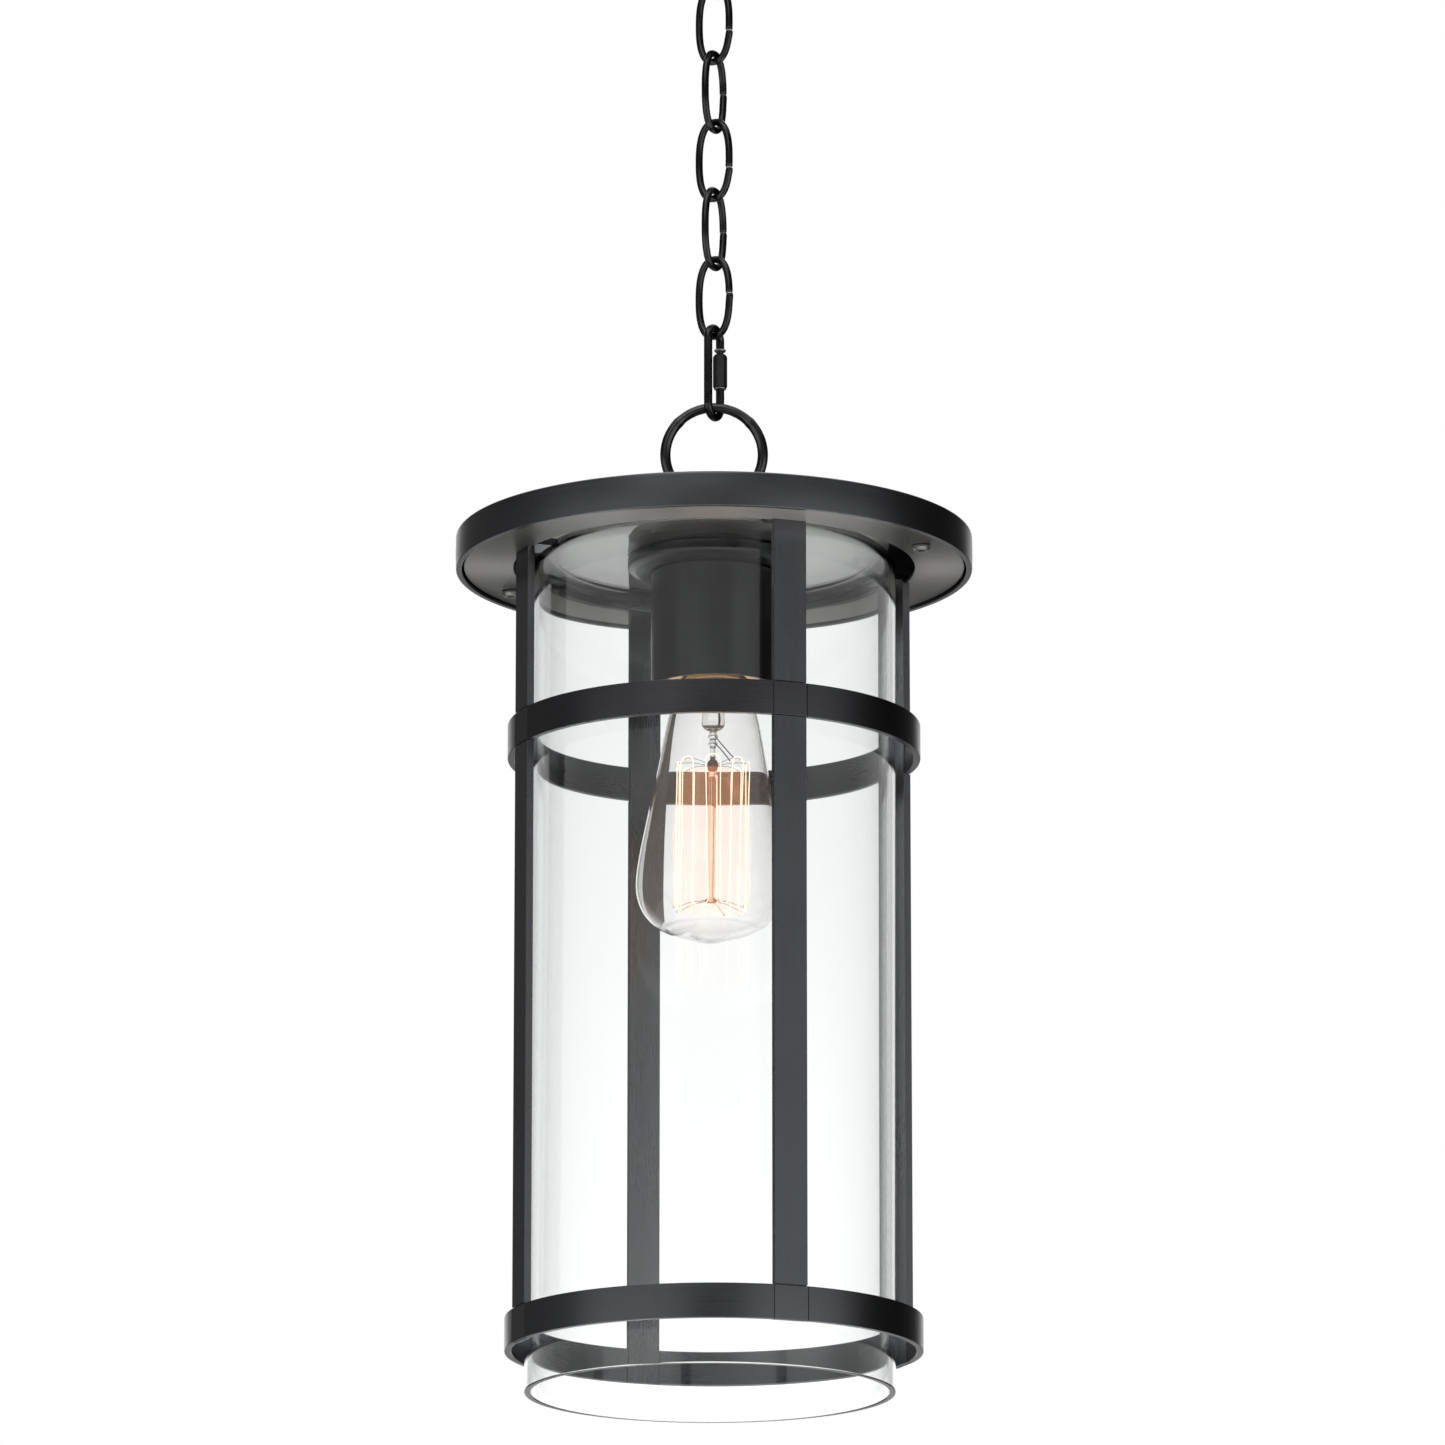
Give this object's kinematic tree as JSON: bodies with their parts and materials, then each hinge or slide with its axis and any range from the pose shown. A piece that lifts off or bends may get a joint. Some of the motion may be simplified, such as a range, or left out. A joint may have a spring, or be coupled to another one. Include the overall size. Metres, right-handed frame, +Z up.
{
  "type": "hanging lantern",
  "caption": "Hanging lantern with a flat round cap, a cage of flat bars and hoops, an open-bottomed clear glass cylinder, one downward lamp and a short chain to a ceiling canopy.",
  "frame": {"origin": "centre of the ceiling face, where the canopy rim and the crossbar meet the ceiling", "axes": "+Z up into the ceiling, -Z down the chain and the lantern; the hang ring lies in the XZ plane"},
  "size_m": [0.23, 0.23, 0.6988],
  "materials": {
    "black_steel": "satin black over brushed steel, slightly bluish",
    "blackened_wire": "semi-gloss black over steel wire, brownish in the highlights",
    "brushed_steel": "dark satin, brushed in circles",
    "zinc_steel": "zinc plated",
    "brass": "satin",
    "porcelain": "glazed",
    "rubber": "matte",
    "clear_glass": "clear, polished",
    "lamp_glass": "clear, polished",
    "black_insulator": "gloss black moulding",
    "filament_wire": "hot wire, glowing amber"
  },
  "bodies": {
    "ceiling_fitting": {"ceiling_crossbar": "zinc_steel", "ceiling_canopy": "black_steel", "ceiling_loop": "black_steel", "canopy_threaded_tube": "zinc_steel", "crossbar_nut": "zinc_steel", "canopy_wire_grommet": "rubber"},
    "link_1": {"chain_link_1": "blackened_wire"},
    "link_2": {"chain_link_2": "blackened_wire"},
    "link_3": {"chain_link_3": "blackened_wire"},
    "link_4": {"chain_link_4": "blackened_wire"},
    "link_5": {"chain_link_5": "blackened_wire"},
    "connector": {"connector_link": "blackened_wire"},
    "nut": {"connector_nut": "blackened_wire"},
    "lantern": {"hang_ring": "black_steel", "cap_shell": "black_steel", "cap_wire_grommet": "rubber", "reflector_disc": "brushed_steel", "underside_plate": "brushed_steel", "plate_screw_1": "zinc_steel", "plate_screw_2": "zinc_steel", "plate_standoff_1": "zinc_steel", "plate_standoff_2": "zinc_steel", "post_1": "black_steel", "post_2": "black_steel", "post_3": "black_steel", "post_4": "black_steel", "mid_band": "black_steel", "bottom_band": "black_steel", "glass_cylinder": "clear_glass", "glass_gasket": "rubber", "centre_threaded_tube": "zinc_steel", "socket_flange": "black_steel", "socket_cup": "black_steel", "socket_nut": "zinc_steel", "lampholder_body": "porcelain", "lampholder_screw_shell": "brass", "lampholder_contact": "brass"},
    "lamp": {"bulb_glass": "lamp_glass", "bulb_base": "brass", "bulb_base_insulator": "black_insulator", "bulb_base_contact": "zinc_steel", "bulb_stem": "lamp_glass", "bulb_filament": "filament_wire"}
  },
  "joints": [
    {"name": "link_1_swing", "type": "hinge", "parent": "ceiling_fitting", "child": "link_1", "pos_m": [0, 0, -0.0597], "axis": [0.512, 0.859, 0], "range_deg": [-30, 30]},
    {"name": "link_2_swing", "type": "hinge", "parent": "link_1", "child": "link_2", "pos_m": [0, 0, -0.09155], "axis": [0.859, -0.512, 0], "range_deg": [-30, 30]},
    {"name": "link_3_swing", "type": "hinge", "parent": "link_2", "child": "link_3", "pos_m": [0, 0, -0.12375], "axis": [0.512, 0.859, 0], "range_deg": [-30, 30]},
    {"name": "link_4_swing", "type": "hinge", "parent": "link_3", "child": "link_4", "pos_m": [0, 0, -0.15595], "axis": [0.859, -0.512, 0], "range_deg": [-30, 30]},
    {"name": "link_5_swing", "type": "hinge", "parent": "link_4", "child": "link_5", "pos_m": [0, 0, -0.18815], "axis": [0.512, 0.859, 0], "range_deg": [-30, 30]},
    {"name": "connector_swing", "type": "hinge", "parent": "link_5", "child": "connector", "pos_m": [0, 0, -0.22035], "axis": [0.859, -0.512, 0], "range_deg": [-30, 30]},
    {"name": "connector_nut_travel", "type": "slide", "parent": "connector", "child": "nut", "axis": [0, 0, 1], "range_m": [0, 0.003]},
    {"name": "lantern_swing", "type": "hinge", "parent": "connector", "child": "lantern", "pos_m": [0, 0, -0.25355], "axis": [1, 0, 0], "range_deg": [-30, 30]},
    {"name": "lamp_removal", "type": "slide", "parent": "lantern", "child": "lamp", "axis": [0, 0, -1], "range_m": [0, 0.03]}
  ]
}
